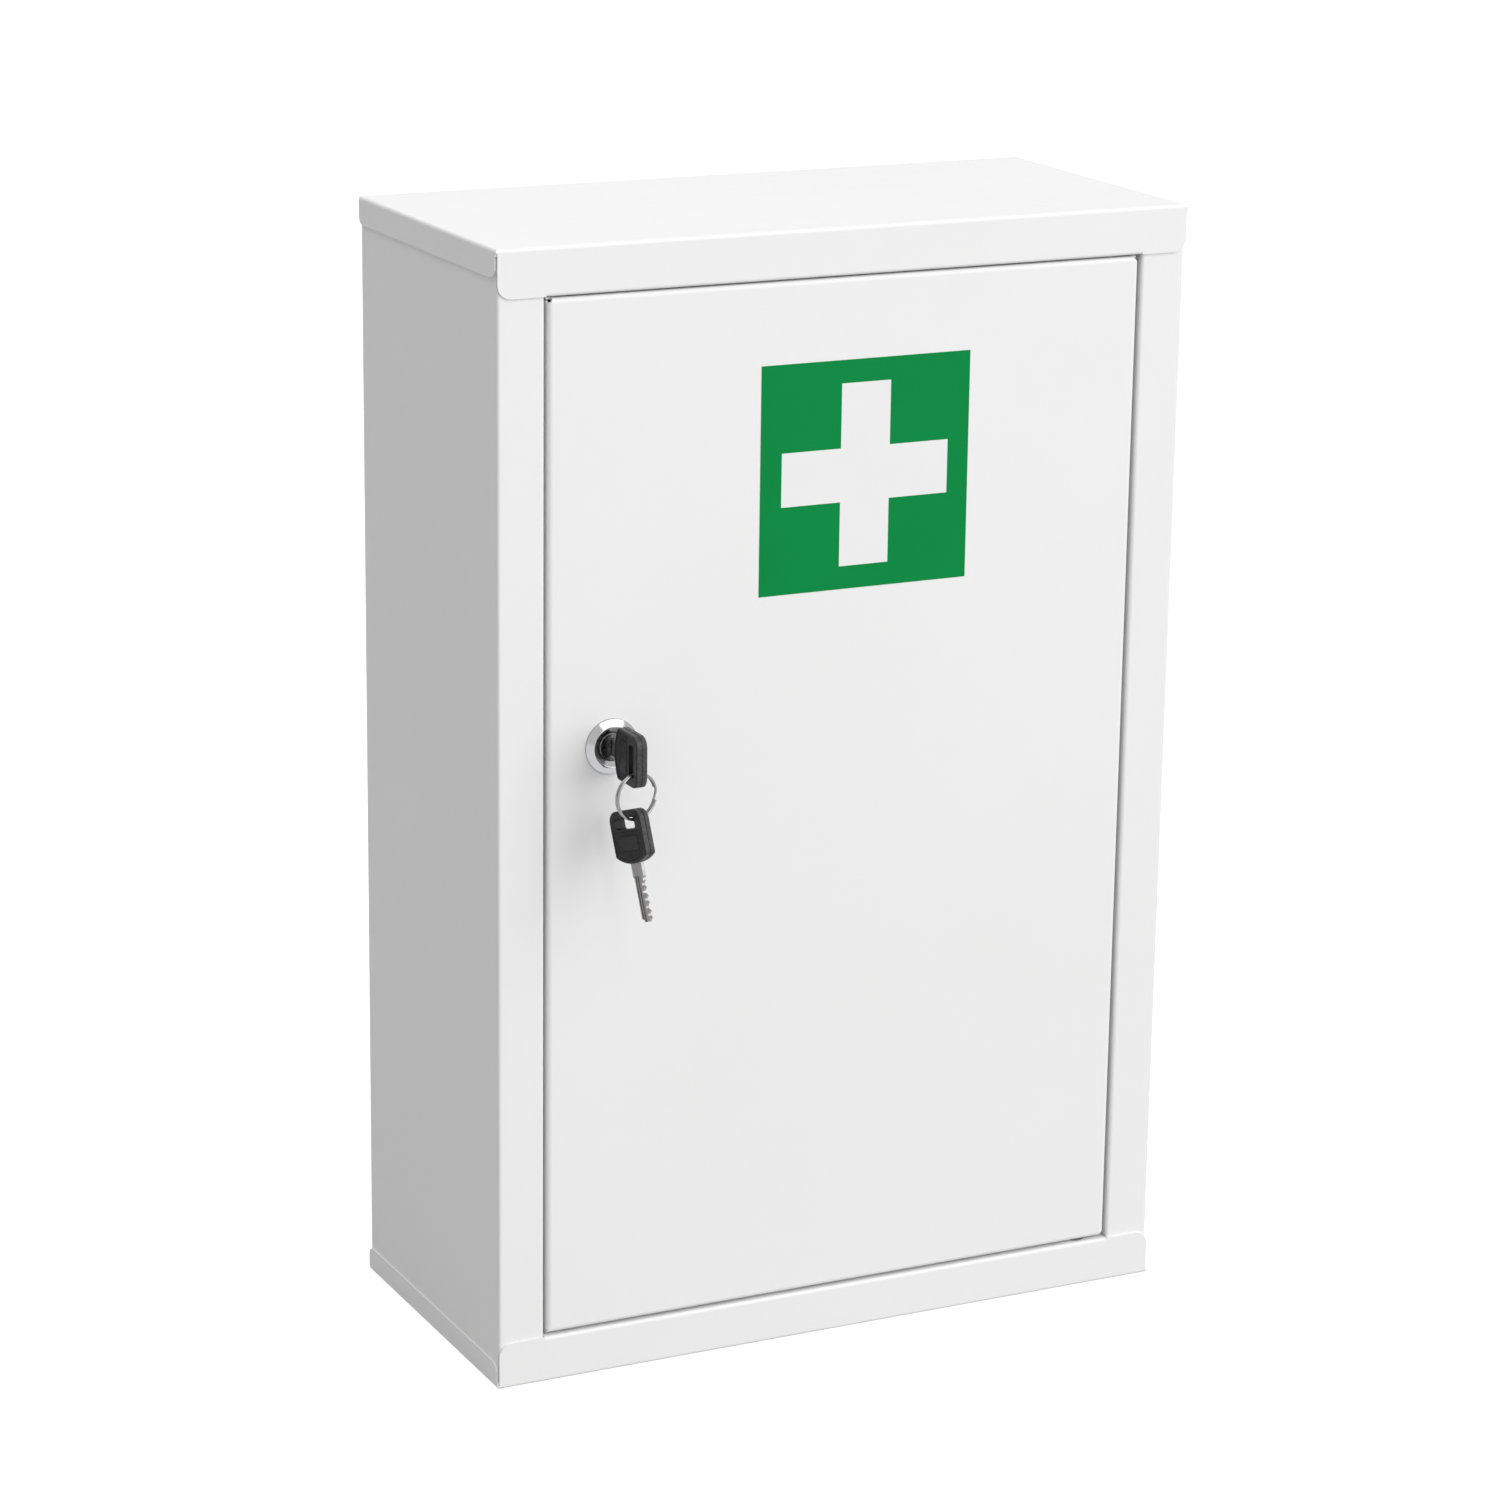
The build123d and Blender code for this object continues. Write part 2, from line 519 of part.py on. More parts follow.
def lock_nut():
    """Hexagon nut on the barrel."""
    y0 = FRONT + SHEET + TOOTH_WASHER_THICKNESS
    y1 = y0 + NUT_THICKNESS
    hexagon = RegularPolygon(NUT_ACROSS_FLATS / 2, 6, major_radius=False)
    nut = extrude(Plane.XZ.offset(-y0) * Pos(LOCK_X, LOCK_Z) * hexagon, -NUT_THICKNESS)
    corner = NUT_ACROSS_FLATS / sqrt(3)
    cone = Pos(LOCK_X, (y0 + y1) / 2, LOCK_Z) * Rot(90, 0, 0) * Cylinder(corner, NUT_THICKNESS)
    nut &= chamfer(cone.edges().filter_by(GeomType.CIRCLE), NUT_CHAMFER)
    return nut - lock_drum(BARREL_RADIUS, y0 - 1, y1 + 1)


def lock_plug():
    """Plug with its keyway, its square tail for the cam and a hole for the cam's screw."""
    plug = lock_drum(PLUG_HEAD_RADIUS, PLUG_FACE, PLUG_FACE + PLUG_HEAD_LENGTH)
    plug = chamfer(edges_at(plug, "Y", PLUG_FACE), PLUG_EDGE)
    plug += lock_drum(PLUG_RADIUS, PLUG_FACE, CAM_FRONT)
    square = PLUG_TAIL_SQUARE / 2
    tail = block(LOCK_X - square, LOCK_X + square, CAM_FRONT, CAM_BACK, LOCK_Z - square, LOCK_Z + square)
    plug += tail & lock_drum(PLUG_RADIUS - PLUG_TAIL_TRIM, CAM_FRONT, CAM_BACK)
    way_x = KEY_BLADE_THICKNESS / 2 + KEYWAY_CLEARANCE
    way_z = KEY_BLADE_WIDTH / 2 + KEYWAY_CLEARANCE
    way_end = PLUG_FACE + KEY_BLADE_CUT + KEYWAY_CLEARANCE
    plug -= block(LOCK_X - way_x, LOCK_X + way_x, PLUG_FACE - 1, way_end, LOCK_Z - way_z, LOCK_Z + way_z)
    return plug - lock_drum(CAM_SCREW_RADIUS, CAM_BACK - CAM_SCREW_LENGTH, CAM_BACK + 1)


def lock_cam():
    """Flat cam with a round hub, pointing down when unlocked."""
    hub = Circle(CAM_HUB_RADIUS)
    tip = CAM_TIP_WIDTH / 2
    arm = make_face(Polyline(
        (-CAM_HUB_RADIUS, 0), (CAM_HUB_RADIUS, 0), (tip, -CAM_HUB_RADIUS * 2),
        (tip, -CAM_REACH), (-tip, -CAM_REACH), (-tip, -CAM_HUB_RADIUS * 2), close=True))
    arm = fillet(arm.vertices().group_by(Axis.Y)[0], CAM_TIP_CORNER)
    square = PLUG_TAIL_SQUARE + CAM_SQUARE_PLAY
    outline = hub + arm - Rectangle(square, square)
    cam = extrude(Plane.XZ.offset(-CAM_FRONT) * Pos(LOCK_X, LOCK_Z) * outline, -CAM_THICKNESS)
    return cam


def cam_washer():
    y0, y1 = CAM_BACK, CAM_BACK + CAM_WASHER_THICKNESS
    return lock_drum(CAM_WASHER_RADIUS, y0, y1) - lock_drum(CAM_SCREW_RADIUS, y0 - 1, y1 + 1)


def cam_screw():
    """Pan head screw with a slot."""
    seat = CAM_BACK + CAM_WASHER_THICKNESS
    head = lock_drum(CAM_SCREW_HEAD_RADIUS, seat, seat + CAM_SCREW_HEAD)
    head = fillet(edges_at(head, "Y", seat + CAM_SCREW_HEAD), CAM_SCREW_HEAD / 2)
    half = CAM_SCREW_SLOT / 2
    wide = CAM_SCREW_HEAD_RADIUS + 1
    head -= block(LOCK_X - wide, LOCK_X + wide, seat + CAM_SCREW_HEAD / 2, seat + CAM_SCREW_HEAD + 1,
                  LOCK_Z - half, LOCK_Z + half)
    return head + lock_drum(CAM_SCREW_RADIUS, CAM_BACK - CAM_SCREW_LENGTH, seat)


# ---------------------------------------------------------------- keys
# A key is drawn with its blade along +Y, its width along Z and the middle of the bow's
# curved shoulder at the origin. The cuts are on the -Z side.
def key_blade():
    """Blade with its tang, shank, two grooves and a row of cuts."""
    shank = KEY_SHANK_WIDTH / 2
    half = KEY_BLADE_WIDTH / 2
    tang = KEY_TANG_WIDTH / 2
    tip_y = KEY_BLADE_BARE + KEY_BLADE_CUT
    points = [
        (-KEY_TANG_LENGTH, tang), (0, tang), (0, shank), (KEY_BLADE_BARE - shank + half, shank),
        (KEY_BLADE_BARE, half), (tip_y - KEY_TIP_BEVEL, half), (tip_y, half - KEY_TIP_BEVEL),
        (tip_y, -half + KEY_TIP_BEVEL), (tip_y - KEY_TIP_BEVEL, -half),
    ]
    points += [
        (KEY_BLADE_BARE, -half), (KEY_BLADE_BARE - shank + half, -shank), (0, -shank), (0, -tang),
        (-KEY_TANG_LENGTH, -tang),
    ]
    outline = make_face(Polyline(*points, close=True))
    for i, depth in enumerate(KEY_CUT_DEPTHS):
        y = tip_y - KEY_CUT_FROM_TIP - i * KEY_CUT_PITCH
        low = KEY_CUT_FLAT / 2
        high = low + depth + 1
        top, bottom = depth - half, -half - 1
        cut = [(y - low, top), (y + low, top), (y + high, bottom), (y - high, bottom)]
        outline -= make_face(Polyline(*cut, close=True))
    blade = extrude(Plane.YZ * outline, KEY_BLADE_THICKNESS / 2, both=True)
    deep = KEY_BLADE_THICKNESS / 2 - KEY_GROOVE_DEPTH
    far = KEY_BLADE_THICKNESS
    for side, share in KEY_GROOVES:
        z = share * half
        x0, x1 = sorted((side * deep, side * far))
        blade -= block(x0, x1, KEY_BLADE_BARE - 1, tip_y + 1, z - KEY_GROOVE_WIDTH / 2,
                       z + KEY_GROOVE_WIDTH / 2)
    return blade


def bow_outline():
    """Square bow with a curved shoulder at its blade end."""
    half = BOW_WIDTH / 2
    corner = BOW_SHOULDER_RISE
    shape = make_face(
        Polyline((-corner, half), (-BOW_LENGTH, half), (-BOW_LENGTH, -half), (-corner, -half))
        + ThreePointArc((-corner, -half), (0, 0), (-corner, half)))
    ends = shape.vertices().group_by(Axis.X)
    shape = fillet(ends[0], BOW_OUTER_CORNER)
    near = [v for v in shape.vertices() if abs(v.X + corner) < 1e-4]
    return fillet(ShapeList(near), BOW_SHOULDER_CORNER)


def key_bow(blade):
    """Moulded bow with a ring slot, a sunk grip field round a plate and a parting groove."""
    thick = BOW_THICKNESS / 2
    bow = extrude(Plane.YZ * bow_outline(), thick, both=True)
    rims = [e for e in bow.edges() if abs(abs((e @ 0.5).X) - thick) < 1e-4]
    bow = fillet(ShapeList(rims), BOW_EDGE)
    slot = Pos(SLOT_MIDDLE, 0) * RectangleRounded(BOW_SLOT_WIDTH, BOW_SLOT_LENGTH, BOW_SLOT_CORNER)
    bow -= extrude(Plane.YZ * slot, BOW_THICKNESS, both=True)
    field = offset(bow_outline(), -BOW_GRIP_MARGIN)
    grip_start = SLOT_INNER + BOW_GRIP_FROM_SLOT
    field -= Pos(grip_start - BOW_LENGTH, 0) * Rectangle(2 * BOW_LENGTH, 2 * BOW_WIDTH)
    plate = RectangleRounded(BOW_PLATE_LENGTH, BOW_PLATE_WIDTH, BOW_PLATE_CORNER)
    field -= Pos(SLOT_INNER + BOW_PLATE_FROM_SLOT + BOW_PLATE_LENGTH / 2, 0) * plate
    for side in (-1, 1):
        bow -= extrude(Plane.YZ.offset(side * thick) * field, -side * BOW_GRIP_DEPTH)
    groove = bow_outline() - offset(bow_outline(), -BOW_SEAM_DEPTH)
    bow -= extrude(Plane.YZ * groove, BOW_SEAM_WIDTH / 2, both=True)
    return bow - blade


def key_place():
    """The key in the lock."""
    return Pos(LOCK_X, KEY_SHOULDER, LOCK_Z)


def spare_place(blade, bow):
    """The spare key on the ring, leaning until its weight hangs below the ring."""
    grip = (SLOT_OUTER + RING_SEAT, -SPARE_GRIP)
    blade_mass = blade.volume * BLADE_DENSITY
    bow_mass = bow.volume * BOW_DENSITY
    mid = (blade.center(CenterOf.MASS) * blade_mass + bow.center(CenterOf.MASS) * bow_mass)
    mid = mid * (1 / (blade_mass + bow_mass))
    lean = degrees(atan2(mid.Z - grip[1], mid.Y - grip[0]))
    drop = 2 * RING_RADIUS
    top = Pos(*RING_TOP) * Rot(0, 0, RING_TWIST)
    return top * Pos(0, 0, -drop) * Rot(-90 - lean, 0, 0) * Pos(0, -grip[0], -grip[1])


def split_ring():
    """Two flat coils of one wire, joined by a short jog and turned to hang from the key."""
    half_jog = RING_JOG / 2
    off = RING_COIL_OFFSET

    def at(angle, y):
        a = radians(angle)
        return (RING_RADIUS * sin(a), y, -RING_RADIUS + RING_RADIUS * cos(a))

    start = 90 + half_jog
    first = ThreePointArc(at(start, -off), at(start + 180 - half_jog, -off), at(450 - half_jog, -off))
    jog = Spline(at(450 - half_jog, -off), at(450, 0), at(450 + half_jog, off),
                 tangents=(first % 1, tangent_at(450 + half_jog)))
    second = ThreePointArc(at(450 + half_jog, off), at(450 + 180, off), at(810 - half_jog, off))
    path = Wire([first, jog, second])
    wire = Plane(origin=first @ 0, z_dir=first % 0) * Circle(RING_WIRE_RADIUS)
    ring = sweep(wire, path=path)
    return Pos(*RING_TOP) * Rot(0, 0, RING_TWIST) * ring


def tangent_at(angle):
    """Direction of the ring's wire at an angle from its top."""
    a = radians(angle)
    return (cos(a), 0, -sin(a))


# ---------------------------------------------------------------- assembly
def build():
    parts = {
        "body_shell": body_shell(),
        "lid_pan": lid_pan(),
        "floor_pan": floor_pan(),
    }
    for name, top in SHELF_HEIGHTS.items():
        parts[name] = shelf(top)
        for side, word in ((-1, "left"), (1, "right")):
            parts[f"{name}_ledge_{word}"] = ledge(side, top)
    parts["door_panel"] = door_panel()
    parts["door_bumpers"] = Compound(children=door_bumpers())
    for up, word in ((1, "lower"), (-1, "upper")):
        parts[f"{word}_pivot_pin"] = pivot_pin(up)
        parts[f"{word}_pivot_bush"] = pivot_bush(up)
    parts["lower_pivot_washer"] = pivot_washer()
    parts["lock_housing"] = lock_housing()
    parts["lock_washer"] = lock_washer()
    parts["lock_nut"] = lock_nut()
    parts["lock_plug"] = lock_plug()
    parts["lock_cam"] = lock_cam()
    parts["cam_washer"] = cam_washer()
    parts["cam_screw"] = cam_screw()
    blade = key_blade()
    bow = key_bow(blade)
    parts["key_blade"] = key_place() * blade
    parts["key_bow"] = key_place() * bow
    parts["split_ring"] = split_ring()
    hang = spare_place(blade, bow)
    parts["spare_key_blade"] = hang * blade
    parts["spare_key_bow"] = hang * bow
    return parts


os.makedirs("parts", exist_ok=True)
for node, solid in build().items():
    export_step(solid, f"parts/{node}.step")
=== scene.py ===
"""Looks of the lockable medicine cabinet: finishes, door sign, key grips, thread, light and camera.

Metres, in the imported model's frame: +X is to the right of someone facing the door, the door
faces -Y and +Z is up.
"""

import json
import math

import bmesh
import bpy
import numpy as np
from mathutils import Matrix, Vector


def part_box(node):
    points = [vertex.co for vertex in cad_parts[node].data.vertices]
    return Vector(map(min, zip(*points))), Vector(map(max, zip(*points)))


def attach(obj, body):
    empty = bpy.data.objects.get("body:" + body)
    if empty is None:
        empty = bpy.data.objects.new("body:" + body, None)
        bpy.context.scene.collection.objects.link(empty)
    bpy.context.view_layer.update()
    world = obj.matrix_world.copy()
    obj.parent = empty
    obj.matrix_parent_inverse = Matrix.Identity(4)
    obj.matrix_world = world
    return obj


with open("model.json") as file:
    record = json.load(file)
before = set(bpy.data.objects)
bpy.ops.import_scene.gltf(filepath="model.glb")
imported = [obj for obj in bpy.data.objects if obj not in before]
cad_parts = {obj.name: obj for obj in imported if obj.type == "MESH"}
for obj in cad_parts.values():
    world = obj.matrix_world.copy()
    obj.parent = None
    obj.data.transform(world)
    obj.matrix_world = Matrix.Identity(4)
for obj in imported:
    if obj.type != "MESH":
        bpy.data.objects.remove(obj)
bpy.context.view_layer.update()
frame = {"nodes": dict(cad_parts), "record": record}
NODES = frame["nodes"]
MM = 0.001
MICRON = 0.000001


# ---------------------------------------------------------------- camera
CAMERA_PLACE = Vector((-0.8081, -1.6207, 0.7422))
CAMERA_YAW = math.radians(26.285)      # to the right of straight at the door
CAMERA_PITCH = math.radians(15.758)    # below the horizon
CAMERA_ROLL = math.radians(0.785)
PHOTO_SIDE_PX = 1500
FOCAL_LENGTH_PX = 4544.6
SENSOR = 36.0                          # millimetres, as the lens is
NEAREST_SEEN = 0.05
FARTHEST_SEEN = 60


def add_camera():
    data = bpy.data.cameras.new("camera")
    data.sensor_width = SENSOR
    data.lens = FOCAL_LENGTH_PX / PHOTO_SIDE_PX * SENSOR
    data.clip_start = NEAREST_SEEN
    data.clip_end = FARTHEST_SEEN
    camera = bpy.data.objects.new("camera", data)
    bpy.context.scene.collection.objects.link(camera)
    turn = Matrix.Rotation(-CAMERA_YAW, 4, "Z")
    turn @= Matrix.Rotation(math.pi / 2 - CAMERA_PITCH, 4, "X")
    turn @= Matrix.Rotation(CAMERA_ROLL, 4, "Z")
    camera.matrix_world = Matrix.Translation(CAMERA_PLACE) @ turn
    bpy.context.scene.camera = camera


# ---------------------------------------------------------------- places of the CAD nodes
def lock_axis():
    """X and Z of the lock's axis, from its plug's box."""
    low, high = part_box("lock_plug")
    return (low.x + high.x) / 2, (low.z + high.z) / 2


def mesh_points(node):
    return np.array([v.co for v in NODES[node].data.vertices])


def blade_direction(node):
    """The long way of a key's blade, from the spread of its mesh."""
    points = mesh_points(node)
    points -= points.mean(0)
    return Vector(np.linalg.svd(points, full_matrices=False)[2][0])


def key_frame():
    """Place of the key in the lock, from its bow's box.

    A key's own frame has the blade along +Y, its width along Z, the thickness along X and the
    middle of the bow's curved shoulder at the origin.
    """
    low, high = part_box("key_bow")
    return Matrix.Translation(((low.x + high.x) / 2, high.y, (low.z + high.z) / 2))


def spare_frame():
    """Place of the spare key, from how its bow's mesh was moved from the other bow's."""
    key, spare = mesh_points("key_bow"), mesh_points("spare_key_bow")
    key_mid, spare_mid = key.mean(0), spare.mean(0)
    u, _, vt = np.linalg.svd((key - key_mid).T @ (spare - spare_mid))
    turn = Matrix((vt.T @ u.T).tolist()).to_4x4()
    move = Matrix.Translation(spare_mid) @ turn @ Matrix.Translation(-key_mid)
    return move @ key_frame()


# ---------------------------------------------------------------- material helpers
NOISE_SPAN = (0.3, 0.7)      # noise stays mostly between these
TINT_SPAN = (0.35, 0.65)     # noise that a change of colour is spread over
SIDE_SPAN = (0.25, 0.75)     # cosine over which a narrow side turns into a wide face
SHEEN_PATCH_SPAN = (0.25, 1.0)      # strength of the painted sheen, from patch to patch
BOX_EDGE = (0.98, 1.02)      # share of a box's half size over which its inside ends


def math_node(tree, operation, *values):
    """Math node on sockets or plain floats."""
    made = tree.nodes.new("ShaderNodeMath")
    made.operation = operation
    for socket, value in zip(made.inputs, values):
        if isinstance(value, float):
            socket.default_value = value
        else:
            tree.links.new(value, socket)
    return made.outputs["Value"]


class Finish:
    """A material with one Principled shader, and short ways to add texture to it."""

    def __init__(self, name, colour, roughness, metallic=0.0, **sockets):
        self.material = bpy.data.materials.new(name)
        self.material.use_nodes = True
        self.tree = self.material.node_tree
        self.shader = self.tree.nodes["Principled BSDF"]
        self.shader.inputs["Base Color"].default_value = (*colour, 1)
        self.shader.inputs["Metallic"].default_value = metallic
        self.shader.inputs["Roughness"].default_value = roughness
        for socket, value in sockets.items():
            self.shader.inputs[socket.replace("_", " ")].default_value = value
        self.place = self.tree.nodes.new("ShaderNodeTexCoord").outputs["Object"]

    def node(self, kind, **settings):
        made = self.tree.nodes.new(kind)
        for key, value in settings.items():
            setattr(made, key, value)
        return made

    def wire(self, value, socket):
        self.tree.links.new(value, socket)

    def math(self, operation, *values):
        return math_node(self.tree, operation, *values)

    def vector_math(self, operation, value, constant=None):
        """Outputs of a vector math node on a socket and, where it takes two, a constant."""
        made = self.node("ShaderNodeVectorMath", operation=operation)
        self.wire(value, made.inputs[0])
        if constant is not None:
            made.inputs[1].default_value = constant
        return made.outputs

    def mapped(self, scale, rotation):
        """Object coordinates, turned and then stretched."""
        turned = self.node("ShaderNodeMapping", vector_type="TEXTURE")
        turned.inputs["Rotation"].default_value = rotation
        self.wire(self.place, turned.inputs["Vector"])
        stretched = self.node("ShaderNodeMapping")
        stretched.inputs["Scale"].default_value = scale
        self.wire(turned.outputs["Vector"], stretched.inputs["Vector"])
        return stretched.outputs["Vector"]

    def from_axis(self, x, z):
        """Distance from a line along Y."""
        offset = self.vector_math("SUBTRACT", self.place, (x, 0, z))["Vector"]
        flat = self.vector_math("MULTIPLY", offset, (1, 0, 1))["Vector"]
        return self.vector_math("LENGTH", flat)["Value"]

    def noise(self, per_metre, detail, roughness=0.5, place=None):
        """Cloudy values, about as fine as a metre divided by per_metre."""
        made = self.node("ShaderNodeTexNoise")
        made.inputs["Scale"].default_value = per_metre
        made.inputs["Detail"].default_value = detail
        made.inputs["Roughness"].default_value = roughness
        self.wire(place or self.place, made.inputs["Vector"])
        return made.outputs["Fac"]

    def ranged(self, value, low, high, span=NOISE_SPAN):
        """Goes from low to high as value goes over a span."""
        made = self.node("ShaderNodeMapRange")
        made.inputs["From Min"].default_value = span[0]
        made.inputs["From Max"].default_value = span[1]
        made.inputs["To Min"].default_value = low
        made.inputs["To Max"].default_value = high
        self.wire(value, made.inputs["Value"])
        return made.outputs["Result"]

    def rough(self, value, low, high):
        self.wire(self.ranged(value, low, high), self.shader.inputs["Roughness"])

    def tint(self, value, colours, span=TINT_SPAN):
        """Base colour that goes from the first colour to the second as value grows."""
        ramp = self.node("ShaderNodeValToRGB")
        for element, position, colour in zip(ramp.color_ramp.elements, span, colours):
            element.position = position
            element.color = (*colour, 1)
        self.wire(value, ramp.inputs["Fac"])
        self.wire(ramp.outputs["Color"], self.shader.inputs["Base Color"])

    def narrow_sides(self, across):
        """1 where the surface faces at right angles to a direction, 0 where it faces along it."""
        normal = self.node("ShaderNodeTexCoord").outputs["Normal"]
        facing = self.vector_math("DOT_PRODUCT", normal, across)["Value"]
        return self.ranged(self.math("ABSOLUTE", facing), 1, 0, SIDE_SPAN)

    def outside(self, place, middle, half_sizes):
        """0 in a box that is laid out in a frame of its own, 1 outside it."""
        local = self.node("ShaderNodeMapping", vector_type="TEXTURE")
        local.inputs["Location"].default_value = place @ middle
        local.inputs["Rotation"].default_value = place.to_euler()
        local.inputs["Scale"].default_value = half_sizes
        self.wire(self.place, local.inputs["Vector"])
        share = self.node("ShaderNodeSeparateXYZ")
        self.wire(self.vector_math("ABSOLUTE", local.outputs["Vector"])["Vector"], share.inputs[0])
        most = self.math("MAXIMUM", share.outputs["X"], share.outputs["Y"])
        return self.ranged(self.math("MAXIMUM", most, share.outputs["Z"]), 0, 1, BOX_EDGE)

    def paint_sheen(self, where, colour):
        """Painted sheen in patches of another colour, laid over the base colour."""
        patches = self.noise(per_metre=900, detail=5, roughness=0.7)
        share = self.math("MULTIPLY", where, self.ranged(patches, *SHEEN_PATCH_SPAN, TINT_SPAN))
        mix = self.node("ShaderNodeMixRGB")
        mix.inputs["Color2"].default_value = (*colour, 1)
        base = self.shader.inputs["Base Color"]
        self.wire(share, mix.inputs["Fac"])
        self.wire(base.links[0].from_socket, mix.inputs["Color1"])
        self.wire(mix.outputs["Color"], base)

    def bump(self, height, depth):
        """Relief of the given depth. Each call adds to the ones before."""
        made = self.node("ShaderNodeBump")
        made.inputs["Strength"].default_value = 1.0
        made.inputs["Distance"].default_value = depth
        self.wire(height, made.inputs["Height"])
        before = self.shader.inputs["Normal"].links
        if before:
            self.wire(before[0].from_socket, made.inputs["Normal"])
        self.wire(made.outputs["Normal"], self.shader.inputs["Normal"])


# ---------------------------------------------------------------- base colours
# Linear red, green and blue. A tint is the darkest and the lightest colour of a finish.
WHITE_PAINT = (0.83, 0.83, 0.83)
WHITE_PAINT_TINT = ((0.824, 0.824, 0.822), (0.836, 0.836, 0.836))
CHROME = (0.55, 0.55, 0.56)
BEZEL = (0.43, 0.43, 0.44)
# Painted dark reflection in the bezel's funnel, going over to the rim's own colour.
BEZEL_PAINTED_REFLECTION_TINT = ((0.13, 0.127, 0.13), BEZEL)
# Painted dark reflection: the plug's plate is much darker than the chrome.
PLUG_PAINTED_REFLECTION = (0.14, 0.14, 0.145)
PLUG_PAINTED_REFLECTION_TINT = ((0.07, 0.07, 0.075), (0.22, 0.22, 0.22))
ZINC = (0.44, 0.45, 0.46)
ZINC_TINT = ((0.37, 0.385, 0.40), (0.50, 0.49, 0.465))
BLADE = (0.28, 0.275, 0.27)
BLADE_TINT = ((0.22, 0.216, 0.21), (0.34, 0.335, 0.325))
WIRE = (0.26, 0.26, 0.265)
BOW = (0.011, 0.011, 0.012)
BOW_TINT = ((0.008, 0.008, 0.009), (0.015, 0.015, 0.016))
# Painted sheen on the bows' narrow sides.
BOW_PAINTED_SHEEN = (0.068, 0.068, 0.070)
GRIP = (0.017, 0.017, 0.018)
GRIP_TINT = ((0.006, 0.006, 0.007), (0.028, 0.028, 0.029))
NYLON = (0.72, 0.72, 0.70)
# Painted shade: the washer in the gap under the door is darkened to that gap's shade.
NYLON_PAINTED_SHADE = (0.13, 0.13, 0.125)
RUBBER = (0.05, 0.05, 0.052)
RUBBER_TINT = ((0.040, 0.040, 0.042), (0.085, 0.085, 0.086))
SIGN_GREEN = (0.000, 0.238, 0.052)
SIGN_GREEN_DIM = (0.000, 0.228, 0.049)
SIGN_WHITE = (0.83, 0.83, 0.83)
SIGN_WHITE_DIM = (0.82, 0.82, 0.82)


# ---------------------------------------------------------------- finishes
BEZEL_PAINTED_REFLECTION_RADIUS = 7.6 * MM         # the painted dark reflection in the funnel reaches this far from the axis
BEZEL_UNPAINTED_RADIUS = 8.5 * MM       # and from here outward the plate shows its own bright colour
THROUGH_BOW = Vector((1, 0, 0))      # in a key's own frame, as the slot's box is
SLOT_MIDDLE = Vector((0, -15.8, 0)) * MM
SLOT_REACH = Vector((4, 2.8, 7.0)) * MM          # half sizes, which take in the slot's walls
HAIRLINE_STRETCH = (1, 1, 9)         # noise is this many times finer along X, Y and Z
HAIRLINE_TURN = (0, 0.5, 0)          # radians, so that the hairlines run aslant
BLADE_LINE_STRETCH = (14, 1, 14)     # finer across the blade than along it
NYLON_DEPTH = (2.0 * MM, 2.0 * MM, 1.5 * MM)     # how far red, green and blue light goes in


def white_paint():
    """Powder coat: a fine orange peel, a soft sheen and hardly any change of tone."""
    paint = Finish("white_paint", WHITE_PAINT, roughness=0.4, Specular_IOR_Level=0.15)
    paint.tint(paint.noise(per_metre=9, detail=3), WHITE_PAINT_TINT)
    paint.rough(paint.noise(per_metre=160, detail=3), 0.36, 0.44)
    paint.bump(paint.noise(per_metre=420, detail=1.5), 12 * MICRON)
    paint.bump(paint.noise(per_metre=1900, detail=1), 2 * MICRON)
    return paint.material


def polish(plate, low, high):
    """Polishing haze, as rough as low to high, and faint hairline scratches."""
    plate.rough(plate.noise(per_metre=700, detail=4, roughness=0.6), low, high)
    hairlines = plate.mapped(HAIRLINE_STRETCH, HAIRLINE_TURN)
    plate.bump(plate.noise(per_metre=1500, detail=2, place=hairlines), 1.5 * MICRON)


def chrome():
    """Bright plate."""
    plate = Finish("chrome", CHROME, metallic=1, roughness=0.08)
    polish(plate, 0.05, 0.13)
    return plate.material


def bezel_plate():
    """Plate on the lock's bezel: bright on the rim, with a painted dark reflection in the funnel round
    the plug.
    """
    plate = Finish("bezel_plate", BEZEL, metallic=1, roughness=0.1)
    # Painted dark reflection: darker inside the funnel than on the rim.
    reach = plate.ranged(plate.from_axis(*lock_axis()), 0, 1, (BEZEL_PAINTED_REFLECTION_RADIUS, BEZEL_UNPAINTED_RADIUS))
    plate.tint(reach, BEZEL_PAINTED_REFLECTION_TINT, (0, 1))
    polish(plate, 0.07, 0.16)
    return plate.material


def plug_plate():
    """Plate on the plug: dulled, and darkened all over as a painted dark reflection, in patches of
    tone.
    """
    # Painted dark reflection: a dark plate stands in for the plug's dark reflections.
    plate = Finish("plug_plate", PLUG_PAINTED_REFLECTION, metallic=1, roughness=0.2)
    plate.tint(plate.noise(per_metre=900, detail=4, roughness=0.6), PLUG_PAINTED_REFLECTION_TINT)
    plate.rough(plate.noise(per_metre=1300, detail=3), 0.14, 0.30)
    plate.bump(plate.noise(per_metre=2600, detail=3), 3 * MICRON)
    return plate.material


def zinc_steel():
    """Passivated zinc: cloudy grey with a slightly warm bloom."""
    zinc = Finish("zinc_steel", ZINC, metallic=1, roughness=0.36)
    zinc.tint(zinc.noise(per_metre=260, detail=4, roughness=0.65), ZINC_TINT)
    zinc.rough(zinc.noise(per_metre=900, detail=3), 0.28, 0.46)
    zinc.bump(zinc.noise(per_metre=2600, detail=3), 6 * MICRON)
    return zinc.material


